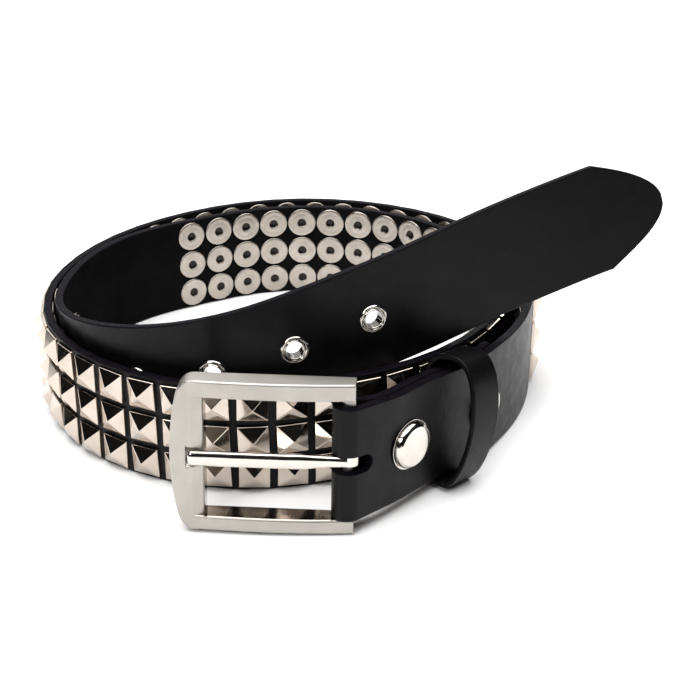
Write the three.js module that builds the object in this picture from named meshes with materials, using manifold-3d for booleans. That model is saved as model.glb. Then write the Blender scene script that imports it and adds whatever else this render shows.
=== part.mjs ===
// A studded leather belt, lying coiled on its lower edge. Millimetres, +Z up.
// The origin is on the floor, below the middle of the belt's outline.
import * as THREE from 'three';
import { mergeVertices } from 'three/addons/utils/BufferGeometryUtils.js';
import Module from 'manifold-3d';

const wasm = await Module();
wasm.setup();

// Driving dimensions
const coilCentre = { x: -19.27, y: 10.25, z: 0.06 };
const gap = 0.3;
const strap = {
  width: 38, thickness: 3, plyEnd: 72, spread: 12, plainStep: 7.5, tipLength: 23, noseHalf: 1.6,
};
const studs = {
  columns: 59, rows: 3, first: 130.29, pitch: 12.57, rowPitch: 12.4,
  base: 10.4, webTop: 0.6, skirtTop: 1.1, apex: 3.9,
};
const eyelet = {
  count: 7, last: 1103.6, pitch: 27.9, flat: 5.4, sides: 14,
  outer: 4.8, inner: 2.9, barrel: 3.5, hole: 3.8, rim: 0.7,
};
const snap = {
  places: [22.3, 62.3], flat: 9, sides: 16,
  cap: 7.9, rise: 3, washer: 8.5, washerTop: 0.65, post: 2, hole: 2.5, back: 5.5, backDepth: 0.5,
};
const keeper = { place: 45.7, width: 13, thickness: 1.8 };
const heel = { radius: 1.75, leatherClear: 0.3, sides: 12 };
const slot = { half: 3, reach: 5.8, back: 9 };
const frame = {
  heading: 177, rise: 0.95, front: 5.6, back: -3.35, bevel: 0.5,
  low: -25, high: 25.6, halfOpening: 20.1, armEnd: -2.2, opening: 44.4,
  corner: 52.9, cornerReach: 5.7, bow: 55, slopeDrop: 1.5,
};
// The arch that is cut on the frame's front: reach from the heel bar, and height before its middle.
const ridge = { reach: 47.9, front: 4.2 };
const frameArch = [
  { reach: -2.2, front: 3.3 }, { reach: 12, front: 4.6 }, { reach: 28, front: 5 }, ridge,
  { reach: 55, front: 3.6 },
];
const tongue = {
  width: 3.8, tipWidth: 5, widenFrom: 5, widenTo: 15, thickness: 3.2, edge: 0.5,
  ringInner: 2.1, ringOuter: 3.7, ringSides: 20,
  notchEnd: 50.3, notchRadius: 3.8, notchFloor: 2.1, notchSides: 24,
};
// The middle of the tongue's thickness: reach from the heel bar, and height before its middle.
const tongueLine = [
  { reach: 0, front: 3.1 }, { reach: 6, front: 3.2 }, { reach: 12, front: 3.9 }, { reach: 18, front: 4.2 },
  { reach: 30, front: 4.3 }, { reach: 47.8, front: 4.35 },
];
const tongueTip = 1.4;

// The strap's course, taken along the middle of its outer face, from the fold to the free end.
// Angle runs round the coil's centre in degrees, radius and lift are millimetres, lift is the height of
// the lower edge above the floor, and a positive lean tips the upper edge outwards in degrees.
const course = [
  // the doubled buckle end, standing a little clear of the floor
  { angle: 282.5, radius: 114.1, lift: 5.4, lean: -2.6 },
  { angle: 291, radius: 106.1, lift: 4.5, lean: 0 },
  { angle: 299, radius: 100.0, lift: 4.1, lean: 0 },
  { angle: 308, radius: 96.3, lift: 2.5, lean: 0 },
  { angle: 320, radius: 92.3, lift: 1.4, lean: 0 },
  { angle: 333, radius: 90.2, lift: 0.2, lean: 0 },
  // the first turn, flat on the floor
  { angle: 350, radius: 89.6, lift: 0, lean: 0 },
  { angle: 375, radius: 90.8, lift: 0, lean: 0 },
  { angle: 402, radius: 91.6, lift: 0, lean: 0 },
  { angle: 430, radius: 90.8, lift: 0, lean: 0 },
  { angle: 455, radius: 89.4, lift: 0, lean: 0 },
  { angle: 480, radius: 86.9, lift: 0, lean: 0 },
  { angle: 505, radius: 86.4, lift: 0, lean: 0 },
  { angle: 530, radius: 88.0, lift: 0, lean: 0 },
  { angle: 555, radius: 90.5, lift: 0, lean: 0 },
  { angle: 580, radius: 91.1, lift: 0, lean: 0 },
  { angle: 600, radius: 89.4, lift: 0, lean: 0 },
  { angle: 620, radius: 86.8, lift: 0, lean: 0 },
  { angle: 640, radius: 82.3, lift: 0, lean: 0 },
  // the second turn, inside the first
  { angle: 660, radius: 80.1, lift: 0, lean: 0 },
  { angle: 680, radius: 79.5, lift: 0, lean: 0 },
  { angle: 705, radius: 80.1, lift: 0, lean: 0 },
  { angle: 735, radius: 82.2, lift: 0, lean: 0 },
  { angle: 765, radius: 82.9, lift: 0, lean: 0 },
  { angle: 795, radius: 82.2, lift: 0, lean: 0 },
  { angle: 820, radius: 80.2, lift: 0, lean: 0 },
  { angle: 843, radius: 78.2, lift: 0.2, lean: 0 },
  { angle: 863, radius: 81.4, lift: 0.4, lean: 0 },
  { angle: 885, radius: 83.5, lift: 0.7, lean: 0 },
  { angle: 903, radius: 85.0, lift: 1, lean: 0 },
  // the free end, climbing over the right-hand wall
  { angle: 920, radius: 86.1, lift: 3.2, lean: 1 },
  { angle: 940, radius: 85.0, lift: 8.0, lean: 1 },
  { angle: 960, radius: 81.3, lift: 14.0, lean: 1 },
  { angle: 982, radius: 75.5, lift: 21.8, lean: 0 },
  { angle: 1005, radius: 70.5, lift: 30.2, lean: -2 },
  { angle: 1028, radius: 72.5, lift: 37.1, lean: -5 },
  { angle: 1046, radius: 80.8, lift: 43.2, lean: -8 },
  { angle: 1059, radius: 93.5, lift: 47.5, lean: -10 },
  { angle: 1068, radius: 112.0, lift: 52.5, lean: -10 },
  { angle: 1075, radius: 147.0, lift: 61.0, lean: -10 },
];
const freeEnd = 1218.8;

const leather = { color: 0x17161a, roughness: 0.5, metalness: 0 };
const nickel = { color: 0xcfc8bf, roughness: 0.2, metalness: 1 };
const satinNickel = { color: 0xc4c0ba, roughness: 0.38, metalness: 1 };

const radians = THREE.MathUtils.degToRad;

// Natural cubic through the values given at rising places.
function naturalSpline(at, values) {
  const last = at.length - 1;
  const bend = new Array(last + 1).fill(0);
  const pivot = new Array(last + 1).fill(1);
  const side = new Array(last + 1).fill(0);
  for (let i = 1; i < last; i += 1) {
    const before = at[i] - at[i - 1];
    const after = at[i + 1] - at[i];
    const carry = i > 1 ? before / pivot[i - 1] : 0;
    const slopes = (values[i + 1] - values[i]) / after - (values[i] - values[i - 1]) / before;
    pivot[i] = 2 * (before + after) - carry * before;
    side[i] = 6 * slopes - carry * side[i - 1];
  }
  for (let i = last - 1; i > 0; i -= 1) {
    bend[i] = (side[i] - (at[i + 1] - at[i]) * bend[i + 1]) / pivot[i];
  }
  return (x) => {
    const next = at.findIndex((place) => place >= x);
    const i = next < 0 ? last - 1 : Math.max(next - 1, 0);
    const span = at[i + 1] - at[i];
    const a = x - at[i];
    const b = at[i + 1] - x;
    return (bend[i] * b ** 3 + bend[i + 1] * a ** 3) / (6 * span)
      + (values[i] / span - (bend[i] * span) / 6) * b
      + (values[i + 1] / span - (bend[i + 1] * span) / 6) * a;
  };
}

// The course as a smooth curve, measured by length along the strap.
function makeCourse() {
  const points = course.map(({ angle, radius, lift }) => new THREE.Vector3(
    radius * Math.cos(radians(angle)), radius * Math.sin(radians(angle)), lift + strap.width / 2,
  ));
  const at = [0];
  for (let i = 1; i < points.length; i += 1) at.push(at[i - 1] + points[i].distanceTo(points[i - 1]));
  const x = naturalSpline(at, points.map((p) => p.x));
  const y = naturalSpline(at, points.map((p) => p.y));
  const z = naturalSpline(at, points.map((p) => p.z));
  const lean = naturalSpline(at, course.map((row) => row.lean));
  const position = (t) => new THREE.Vector3(x(t), y(t), z(t));

  const samples = 4000;
  const lengths = [0];
  const step = at[at.length - 1] / samples;
  for (let i = 1; i <= samples; i += 1) {
    lengths.push(lengths[i - 1] + position(i * step).distanceTo(position((i - 1) * step)));
  }
  const parameter = (s) => {
    let low = 0;
    let high = samples;
    while (high - low > 1) {
      const middle = Math.floor((low + high) / 2);
      if (lengths[middle] > s) high = middle;
      else low = middle;
    }
    return step * (low + (s - lengths[low]) / (lengths[high] - lengths[low]));
  };
  const reach = 0.05;
  const up = new THREE.Vector3(0, 0, 1);
  return (s) => {
    const t = parameter(s);
    const along = position(t + reach).sub(position(t - reach)).normalize();
    const upright = up.clone().addScaledVector(along, -up.dot(along)).normalize();
    const level = along.clone().cross(upright);
    const tip = radians(lean(t));
    const across = upright.multiplyScalar(Math.cos(tip)).addScaledVector(level, Math.sin(tip));
    const out = along.clone().cross(across);
    return { point: position(t), along, across, out };
  };
}

const frameAt = makeCourse();

// The flat the strap keeps round a piece of metal, from half its length before it to half after.
function flatAt(s, half) {
  const before = frameAt(s - half);
  const after = frameAt(s + half);
  const along = after.point.clone().sub(before.point).normalize();
  const mean = before.across.clone().add(after.across);
  const across = mean.addScaledVector(along, -mean.dot(along)).normalize();
  const point = before.point.clone().lerp(after.point, 0.5);
  return { point, along, across, out: along.clone().cross(across) };
}

// A point beside the strap: outward from its outer face, and across its width from the middle.
function beside(s, outward, rise) {
  const { point, across, out } = frameAt(s);
  return point.clone().addScaledVector(out, outward).addScaledVector(across, rise);
}

// Closed solids
function solid(geometry) {
  const bare = geometry.index ? geometry.toNonIndexed() : geometry;
  bare.deleteAttribute('normal');
  bare.deleteAttribute('uv');
  return mergeVertices(bare, 1e-4);
}

function fromTriangles(points) {
  const geometry = new THREE.BufferGeometry().setFromPoints(points);
  return mergeVertices(geometry, 1e-4);
}

function toManifold(geometry) {
  return new wasm.Manifold(new wasm.Mesh({
    numProp: 3,
    vertProperties: Float32Array.from(geometry.attributes.position.array),
    triVerts: Uint32Array.from(geometry.index.array),
  }));
}

function fromManifold(body) {
  const mesh = body.getMesh();
  const geometry = new THREE.BufferGeometry();
  geometry.setAttribute('position', new THREE.BufferAttribute(Float32Array.from(mesh.vertProperties), 3));
  geometry.setIndex(new THREE.BufferAttribute(Uint32Array.from(mesh.triVerts), 1));
  return geometry;
}

function quad(list, a, b, c, d) {
  list.push(a, b, c, a, c, d);
}

// A bar of four-cornered rings, with both ends closed.
function bandThrough(rings) {
  const list = [];
  for (let i = 0; i + 1 < rings.length; i += 1) {
    for (let k = 0; k < 4; k += 1) {
      const next = (k + 1) % 4;
      quad(list, rings[i][k], rings[i][next], rings[i + 1][next], rings[i + 1][k]);
    }
  }
  const [a, b, c, d] = rings[0];
  quad(list, d, c, b, a);
  quad(list, ...rings[rings.length - 1]);
  return fromTriangles(list);
}

function lathe(profile, sides) {
  const points = profile.map(([radius, height]) => new THREE.Vector2(radius, height));
  return solid(new THREE.LatheGeometry(points, sides));
}

function extruded(outline, depth, bevel = 0) {
  return solid(new THREE.ExtrudeGeometry(outline, {
    depth: depth - 2 * bevel,
    bevelEnabled: bevel > 0,
    bevelThickness: bevel,
    bevelSize: bevel,
    bevelOffset: -bevel,
    bevelSegments: 1,
    curveSegments: 8,
  }).translate(0, 0, bevel));
}

function cylinder(radius, length, sides) {
  return solid(new THREE.CylinderGeometry(radius, radius, length, sides));
}

function part(name, geometry, look) {
  const mesh = new THREE.Mesh(geometry, new THREE.MeshStandardMaterial(look));
  mesh.name = name;
  return mesh;
}

// Turns a piece so that its X, Y and Z lie along three directions, at a place.
function seat(object, place, x, y, z) {
  object.quaternion.setFromRotationMatrix(new THREE.Matrix4().makeBasis(x, y, z));
  object.position.copy(place);
  return object;
}

// Strap
const heelDepth = strap.thickness + heel.leatherClear + heel.radius;

function heelCentre() {
  return beside(0, -heelDepth, 0);
}

// Distance of the back ply's flesh side behind the strap's outer face.
function backPly(s) {
  const near = strap.thickness + 2 * (heel.leatherClear + heel.radius);
  const far = strap.thickness + gap;
  const share = THREE.MathUtils.smoothstep(s, 0, strap.spread);
  return near + (far - near) * share;
}

function ring(grain, flesh, across, half) {
  return [
    flesh.clone().addScaledVector(across, -half), flesh.clone().addScaledVector(across, half),
    grain.clone().addScaledVector(across, half), grain.clone().addScaledVector(across, -half),
  ];
}

function foldRings() {
  const centre = heelCentre();
  const { along, across, out } = frameAt(0);
  const fleshRadius = heel.radius + heel.leatherClear;
  const steps = 8;
  const rings = [];
  for (let i = 0; i < steps; i += 1) {
    const turn = Math.PI * (1 - i / steps);
    const away = out.clone().multiplyScalar(Math.cos(turn)).addScaledVector(along, -Math.sin(turn));
    const flesh = centre.clone().addScaledVector(away, fleshRadius);
    const grain = centre.clone().addScaledVector(away, fleshRadius + strap.thickness);
    rings.push(ring(grain, flesh, across, strap.width / 2));
  }
  return rings;
}

// Half the width of the strap near its point, from a cubic curve on each side of the middle.
function tipOutline() {
  const side = new THREE.CubicBezierCurve(
    new THREE.Vector2(0, strap.width / 2), new THREE.Vector2(11, 13.8),
    new THREE.Vector2(strap.tipLength, 8), new THREE.Vector2(strap.tipLength, 0),
  );
  return [0, 0.12, 0.26, 0.4, 0.54, 0.68, 0.8, 0.9].map((t) => side.getPoint(t));
}

// Even places from one end to the other, leaving the flats undivided.
function placesBetween(from, to, flats) {
  const places = [];
  let reached = from;
  const walk = (end) => {
    const steps = Math.ceil((end - reached) / strap.plainStep);
    for (let i = 0; i < steps; i += 1) places.push(reached + ((end - reached) * i) / steps);
    reached = end;
  };
  flats.forEach(({ middle, half }) => {
    walk(middle - half);
    places.push(reached);
    reached = middle + half;
  });
  walk(to);
  return places;
}

const snapFlats = snap.places.map((middle) => ({ middle, half: snap.flat }));
const eyeletPlaces = Array.from({ length: eyelet.count }, (_, i) => eyelet.last - i * eyelet.pitch);
const eyeletFlats = [...eyeletPlaces].reverse().map((middle) => ({ middle, half: eyelet.flat }));

function outerPlyPlaces() {
  const columns = Array.from({ length: studs.columns }, (_, i) => studs.first + i * studs.pitch);
  const half = studs.base / 2;
  const lastStud = columns[columns.length - 1];
  return [
    ...placesBetween(0, studs.first - half, snapFlats),
    ...columns.flatMap((middle) => [middle - half, middle + half]),
    ...placesBetween(lastStud + half + 3, freeEnd - strap.tipLength, eyeletFlats),
  ];
}

function outerPlyRings() {
  const ringAt = (s, half) => ring(beside(s, 0, 0), beside(s, -strap.thickness, 0), frameAt(s).across, half);
  const body = outerPlyPlaces().map((s) => ringAt(s, strap.width / 2));
  const tip = tipOutline().map((p) => ringAt(freeEnd - strap.tipLength + p.x, p.y));
  return [...body, ...tip, ringAt(freeEnd, strap.noseHalf)];
}

function backPlyRings() {
  const bend = [0.25, 0.5, 0.75].map((share) => share * strap.spread);
  const doubled = placesBetween(snap.places[0] - snap.flat, strap.plyEnd, snapFlats);
  return [...bend, ...doubled, strap.plyEnd].reverse().map((s) => {
    const flesh = beside(s, -backPly(s), 0);
    const grain = beside(s, -backPly(s) - strap.thickness, 0);
    return ring(grain, flesh, frameAt(s).across, strap.width / 2);
  });
}

// A round punch through the strap, square to the flat it goes through.
function punch({ point, along, across, out }, radius, sides) {
  const turn = new THREE.Matrix4().makeBasis(along, out, across.clone().negate());
  return cylinder(radius, 30, sides).applyMatrix4(turn.setPosition(point));
}

// The slot that lets the tongue through the fold, round at its far end.
function slotTool() {
  const outline = new THREE.Shape();
  outline.moveTo(-slot.back, -slot.half);
  outline.lineTo(slot.reach - slot.half, -slot.half);
  outline.absarc(slot.reach - slot.half, 0, slot.half, -Math.PI / 2, Math.PI / 2);
  outline.lineTo(-slot.back, slot.half);
  const tool = extruded(outline, 2 * slot.back).translate(0, 0, -slot.back);
  const { along, across, out } = frameAt(0);
  return tool.applyMatrix4(new THREE.Matrix4().makeBasis(along, across, out).setPosition(heelCentre()));
}

function makeStrap() {
  const rings = [...backPlyRings(), ...foldRings(), ...outerPlyRings()];
  const cuts = [
    slotTool(),
    ...snap.places.map((s) => punch(flatAt(s, snap.flat), snap.hole, snap.sides)),
    ...eyeletPlaces.map((s) => punch(flatAt(s, eyelet.flat), eyelet.hole, eyelet.sides)),
  ];
  const body = cuts.reduce((left, tool) => left.subtract(toManifold(tool)), toManifold(bandThrough(rings)));
  return part('strap', fromManifold(body), leather);
}

// Stud field: pyramids with short upright skirts, joined by a thin web close over the leather.
function makeStudField() {
  const half = studs.base / 2;
  const edges = [];
  for (let row = 0; row < studs.rows; row += 1) {
    const middle = (row - (studs.rows - 1) / 2) * studs.rowPitch;
    edges.push(middle - half, middle + half);
  }
  const low = edges[0];
  const high = edges[edges.length - 1];
  const list = [];

  const web = (s, rise) => beside(s, studs.webTop, rise);
  const foot = (s, rise) => beside(s, gap, rise);
  const sheet = (from, to) => {
    quad(list, foot(from, high), foot(to, high), foot(to, low), foot(from, low));
    quad(list, foot(from, low), foot(to, low), web(to, low), web(from, low));
    quad(list, foot(to, high), foot(from, high), web(from, high), web(to, high));
  };
  const cover = (from, to, bottom, top) => {
    quad(list, web(from, bottom), web(to, bottom), web(to, top), web(from, top));
  };
  const stud = (from, to, bottom, top) => {
    const feet = [[from, bottom], [to, bottom], [to, top], [from, top]];
    const apex = beside((from + to) / 2, studs.apex, (bottom + top) / 2);
    feet.forEach(([s, rise], i) => {
      const [nextS, nextRise] = feet[(i + 1) % 4];
      const brim = beside(s, studs.skirtTop, rise);
      const nextBrim = beside(nextS, studs.skirtTop, nextRise);
      quad(list, web(s, rise), web(nextS, nextRise), nextBrim, brim);
      list.push(brim, nextBrim, apex);
    });
  };
  const end = (s, facing) => {
    const top = edges.map((rise) => web(s, rise));
    const corners = [foot(s, low), ...top, foot(s, high)];
    for (let i = 1; i + 1 < corners.length; i += 1) {
      if (facing < 0) list.push(corners[0], corners[i], corners[i + 1]);
      else list.push(corners[0], corners[i + 1], corners[i]);
    }
  };

  const firstEdge = studs.first - half;
  for (let column = 0; column < studs.columns; column += 1) {
    const from = firstEdge + column * studs.pitch;
    const to = from + studs.base;
    sheet(from, to);
    for (let i = 0; i < edges.length; i += 2) stud(from, to, edges[i], edges[i + 1]);
    for (let i = 1; i + 1 < edges.length; i += 2) cover(from, to, edges[i], edges[i + 1]);
    if (column + 1 < studs.columns) {
      const next = from + studs.pitch;
      sheet(to, next);
      for (let i = 0; i + 1 < edges.length; i += 1) cover(to, next, edges[i], edges[i + 1]);
    }
  }
  end(firstEdge, -1);
  end(firstEdge + (studs.columns - 1) * studs.pitch + studs.base, 1);
  return part('stud_field', fromTriangles(list), nickel);
}

// Eyelets: a barrel through the strap with a flange on each face.
function makeEyelet(s, number) {
  const { point, along, across, out } = flatAt(s, eyelet.flat);
  const back = -strap.thickness - gap;
  const profile = [
    [eyelet.inner, back - eyelet.rim], [eyelet.outer, back - eyelet.rim * 0.6], [eyelet.outer, back],
    [eyelet.barrel, back], [eyelet.barrel, gap], [eyelet.outer, gap],
    [eyelet.outer, gap + eyelet.rim * 0.5], [(eyelet.outer + eyelet.inner) / 2, gap + eyelet.rim],
    [eyelet.inner, gap + eyelet.rim * 0.7], [eyelet.inner, back - eyelet.rim],
  ];
  const mesh = part(`eyelet_${number}`, lathe(profile, eyelet.sides), nickel);
  return seat(mesh, point, along, out, across.clone().negate());
}

// Snaps: a low dome on a washer, a post through both plies and a flat back.
function makeSnap(s, number) {
  const { point, along, across, out } = flatAt(s, snap.flat);
  const back = -backPly(s) - strap.thickness - gap;
  const profile = [
    [0, back - snap.backDepth], [snap.back, back - snap.backDepth], [snap.back, back],
    [snap.post, back], [snap.post, gap], [snap.washer, gap], [snap.washer, snap.washerTop],
    [snap.cap - 0.4, snap.washerTop + 0.1], [snap.cap, snap.washerTop + 0.4],
    [snap.cap - 0.5, snap.rise - 1], [snap.cap - 1.7, snap.rise - 0.35],
    [snap.cap - 4.9, snap.rise - 0.05], [0, snap.rise],
  ];
  const mesh = part(`snap_${number}`, lathe(profile, snap.sides), nickel);
  return seat(mesh, point, along, out, across.clone().negate());
}

// Keeper loop: a flat back and foot, and a front that bellies out from the strap.
function keeperOutline() {
  const outline = new THREE.Shape();
  outline.moveTo(-9.5, 17);
  outline.lineTo(-9.5, -18.3);
  outline.bezierCurveTo(-9.5, -20.6, -8.8, -21.3, -6, -21.3);
  outline.lineTo(3, -21.3);
  outline.bezierCurveTo(8, -18.7, 11.9, -6, 11.9, 4.5);
  outline.bezierCurveTo(11.9, 16, 8.5, 24.9, 1.5, 24.9);
  outline.bezierCurveTo(-4, 24.9, -9.5, 22.5, -9.5, 17);
  return outline.getPoints(6).slice(0, -1);
}

// Moves each corner of a closed outline inwards, square to the two edges that meet there.
function inset(points, distance) {
  return points.map((point, i) => {
    const before = points[(i + points.length - 1) % points.length];
    const after = points[(i + 1) % points.length];
    const first = point.clone().sub(before).normalize();
    const second = after.clone().sub(point).normalize();
    const normal = new THREE.Vector2(-first.y - second.y, first.x + second.x).normalize();
    const reach = distance / Math.max(0.5, normal.x * -first.y + normal.y * first.x);
    return point.clone().addScaledVector(normal, reach);
  });
}

function makeKeeper() {
  const outer = keeperOutline();
  const outline = new THREE.Shape(outer);
  outline.holes.push(new THREE.Path(inset(outer, keeper.thickness)));
  const { point, along, across, out } = frameAt(keeper.place);
  const mesh = part('keeper_loop', extruded(outline, keeper.width), leather);
  const near = point.clone().addScaledVector(along, keeper.width / 2);
  return seat(mesh, near, out, across, along.clone().negate());
}

// Buckle, in its own directions: X towards the bowed end, Y to the front, Z along the heel bar.
function frameOutline() {
  const { armEnd, opening, halfOpening, low, high, corner, cornerReach, bow } = frame;
  const turn = corner - 1.1;
  const outline = new THREE.Shape();
  outline.moveTo(armEnd, low);
  outline.lineTo(corner - cornerReach, low);
  outline.quadraticCurveTo(turn, low, corner, low + cornerReach);
  outline.quadraticCurveTo(2 * bow - corner, 0, corner, high - cornerReach);
  outline.quadraticCurveTo(turn, high, corner - cornerReach, high);
  outline.lineTo(armEnd, high);
  outline.lineTo(armEnd, halfOpening);
  outline.lineTo(opening, halfOpening);
  outline.lineTo(opening, -halfOpening);
  outline.lineTo(armEnd, -halfOpening);
  return outline;
}

// Takes everything before the arched front.
function archTool() {
  const arch = new THREE.SplineCurve(frameArch.map(({ reach, front }) => new THREE.Vector2(reach, front)));
  const line = arch.getPoints(12);
  const start = line[0];
  const end = line[line.length - 1];
  const clear = frame.front + 1;
  const outline = new THREE.Shape(line);
  outline.lineTo(end.x + 1, end.y);
  outline.lineTo(end.x + 1, clear);
  outline.lineTo(start.x - 1, clear);
  outline.lineTo(start.x - 1, start.y);
  return extruded(outline, frame.high - frame.low + 2).translate(0, 0, frame.low - 1);
}

// The slope on the bowed bar's front, from its ridge down to the opening.
function slopeTool() {
  const foot = ridge.front - frame.slopeDrop;
  const clear = frame.front + 1;
  const outline = new THREE.Shape();
  outline.moveTo(frame.opening - 1, clear);
  outline.lineTo(frame.opening - 1, foot);
  outline.lineTo(frame.opening, foot);
  outline.lineTo(ridge.reach, ridge.front);
  outline.lineTo(ridge.reach, clear);
  return extruded(outline, 2 * frame.halfOpening).translate(0, 0, -frame.halfOpening);
}

// The round-bottomed notch on the bowed bar, where the tongue's tip lies.
function notchTool() {
  const length = tongue.notchEnd - frame.opening + 2;
  return cylinder(tongue.notchRadius, length, tongue.notchSides).rotateZ(Math.PI / 2)
    .translate(tongue.notchEnd - length / 2, tongue.notchFloor + tongue.notchRadius, 0);
}

function makeFrame() {
  const plate = extruded(frameOutline(), frame.front - frame.back, frame.bevel)
    .rotateX(Math.PI / 2).translate(0, frame.front, 0);
  const bar = cylinder(heel.radius, 2 * frame.halfOpening + 1, heel.sides).rotateX(Math.PI / 2);
  const whole = toManifold(plate).add(toManifold(bar));
  const tools = [archTool(), slopeTool(), notchTool()];
  const body = tools.reduce((left, tool) => left.subtract(toManifold(tool)), whole);
  return part('buckle_frame', fromManifold(body), satinNickel);
}

function prongOutline() {
  const line = new THREE.SplineCurve(tongueLine.map(({ reach, front }) => new THREE.Vector2(reach, front)));
  const half = tongue.thickness / 2;
  const shares = Array.from({ length: 13 }, (_, i) => i / 12);
  const side = (offset) => shares.map((share) => {
    const along = line.getTangent(share);
    return line.getPoint(share).add(new THREE.Vector2(-along.y, along.x).multiplyScalar(offset));
  });
  const { reach, front } = tongueLine[tongueLine.length - 1];
  const tip = new THREE.EllipseCurve(reach, front, tongueTip, half, -Math.PI / 2, Math.PI / 2).getPoints(6);
  return new THREE.Shape([...side(-half).slice(0, -1), ...tip, ...side(half).slice(0, -1).reverse()]);
}

// Widens the prong evenly about its middle, from the heel bar's side to the tip's.
function widened(geometry) {
  const place = geometry.attributes.position;
  const most = tongue.tipWidth / tongue.width;
  for (let i = 0; i < place.count; i += 1) {
    const share = THREE.MathUtils.smoothstep(place.getX(i), tongue.widenFrom, tongue.widenTo);
    place.setZ(i, place.getZ(i) * THREE.MathUtils.lerp(1, most, share));
  }
  return geometry;
}

function makeTongue() {
  const prong = widened(extruded(prongOutline(), tongue.width, tongue.edge).translate(0, 0, -tongue.width / 2));
  const ringBody = cylinder(tongue.ringOuter, tongue.width, tongue.ringSides).rotateX(Math.PI / 2);
  const bore = cylinder(tongue.ringInner, tongue.width + 2, tongue.ringSides).rotateX(Math.PI / 2);
  const body = toManifold(prong).add(toManifold(ringBody)).subtract(toManifold(bore));
  return part('buckle_tongue', fromManifold(body), nickel);
}

function makeBuckle() {
  const { across } = frameAt(0);
  const heading = radians(frame.heading);
  const x = new THREE.Vector3(Math.cos(heading), Math.sin(heading), 0);
  x.addScaledVector(across, -across.dot(x)).normalize();
  const y = across.clone().cross(x);
  const buckle = new THREE.Group();
  buckle.add(makeFrame(), makeTongue());
  return seat(buckle, heelCentre().addScaledVector(across, frame.rise), x, y, across);
}

// Assembly
const belt = new THREE.Group();
belt.position.set(coilCentre.x, coilCentre.y, coilCentre.z);
belt.add(makeStrap(), makeStudField(), makeKeeper(), makeBuckle());
snap.places.forEach((s, i) => belt.add(makeSnap(s, i + 1)));
eyeletPlaces.forEach((s, i) => belt.add(makeEyelet(s, i + 1)));

export default belt;
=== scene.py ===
"""A studded leather belt, lying coiled on the lower edge of its strap.

Sizes are in millimetres until a mesh is made, and angles in tables are in degrees.
"""

import math

import bmesh
import bpy
import numpy as np
from mathutils import Matrix, Vector


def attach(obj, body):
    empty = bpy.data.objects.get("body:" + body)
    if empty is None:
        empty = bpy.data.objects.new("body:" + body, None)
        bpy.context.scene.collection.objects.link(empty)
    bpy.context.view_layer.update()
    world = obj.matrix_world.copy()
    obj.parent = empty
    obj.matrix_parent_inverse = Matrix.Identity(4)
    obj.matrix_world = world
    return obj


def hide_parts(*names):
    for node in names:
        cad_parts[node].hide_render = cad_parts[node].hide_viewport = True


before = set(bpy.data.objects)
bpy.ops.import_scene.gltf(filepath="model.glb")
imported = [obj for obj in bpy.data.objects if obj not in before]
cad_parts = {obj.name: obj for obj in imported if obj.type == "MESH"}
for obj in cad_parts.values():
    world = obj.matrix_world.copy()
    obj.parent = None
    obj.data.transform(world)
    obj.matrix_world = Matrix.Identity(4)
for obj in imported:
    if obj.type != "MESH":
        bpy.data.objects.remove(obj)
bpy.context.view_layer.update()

MM = 0.001
COIL_CENTRE = np.array([-19.27, 10.25, 0.06])

# Strap
STRAP_WIDTH = 38.0
STRAP_THICKNESS = 3.0
STRAP_EDGE = 0.55
FREE_END = 1218.8
TIP_LENGTH = 23.0
TIP_CURVE = ((0, STRAP_WIDTH / 2), (11, 13.8), (TIP_LENGTH, 8), (TIP_LENGTH, 0))
NOSE_HALF = 1.0
PLY_END = 72.0
PLY_SPREAD = 12.0

# Steps between the edges across the strap, and between the points of its guide line
PLAIN_STEP = 2.4
PLAIN_STEPS = 46
FOLD_STEPS = 16
SPREAD_STEPS = 12
TIP_STEPS = 48
GUIDE_STEP = 1.0

# Heel bar and the fold of leather round it
BAR_RADIUS = 1.75
BAR_OVERLAP = 0.5
LEATHER_CLEAR = 0.3
FOLD_RADIUS = BAR_RADIUS + LEATHER_CLEAR
HEEL_DEPTH = STRAP_THICKNESS + FOLD_RADIUS
FOLD_LENGTH = math.pi * (FOLD_RADIUS + STRAP_THICKNESS / 2)
SLOT_HALF = 3.0
SLOT_REACH = 5.8
SLOT_CORNER = SLOT_HALF * 0.999

# Studs and their rivet backs
STUD_COLUMNS = 59
STUD_ROWS = 3
STUD_FIRST = 130.29
STUD_PITCH = 12.57
STUD_ROW_PITCH = 12.4
STUD_BASE = 10.4
STUD_SKIRT = 1.0
STUD_APEX = 3.8
STUD_EDGE = 0.28
STUD_SINK = 0.1
RIVET_GAP = 0.22
RIVET_HOLLOW = 1.7

# Eyelets and snaps
EYELET_COUNT = 7
EYELET_LAST = 1103.6
EYELET_PITCH = 27.9
EYELET_HOLE = 3.8
BARREL_OUTER = 2.95
BARREL_TOP = 0.4
BARREL_PAST_BACK = 0.5
SNAP_PLACES = (22.3, 62.3)
SNAP_HOLE = 2.5

# Keeper loop; each row is a curve with its two ends and two controls, as outward and upward distances
KEEPER_PLACE = 45.7
KEEPER_WIDTH = 13.0
KEEPER_THICKNESS = 1.8
KEEPER_EDGE = 0.5
KEEPER_STEPS = 12
KEEPER_CURVES = (
    # start, first control, second control, end
    ((-9.5, -18.3), (-9.5, -20.6), (-8.8, -21.3), (-6, -21.3)),
    ((-6, -21.3), (-3, -21.3), (0, -21.3), (3, -21.3)),
    ((3, -21.3), (8, -18.7), (11.9, -6), (11.9, 4.5)),
    ((11.9, 4.5), (11.9, 16), (8.5, 24.9), (1.5, 24.9)),
    ((1.5, 24.9), (-4, 24.9), (-9.5, 22.5), (-9.5, 17)),
    ((-9.5, 17), (-9.5, 6), (-9.5, -8), (-9.5, -18.3)),
)

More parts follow.
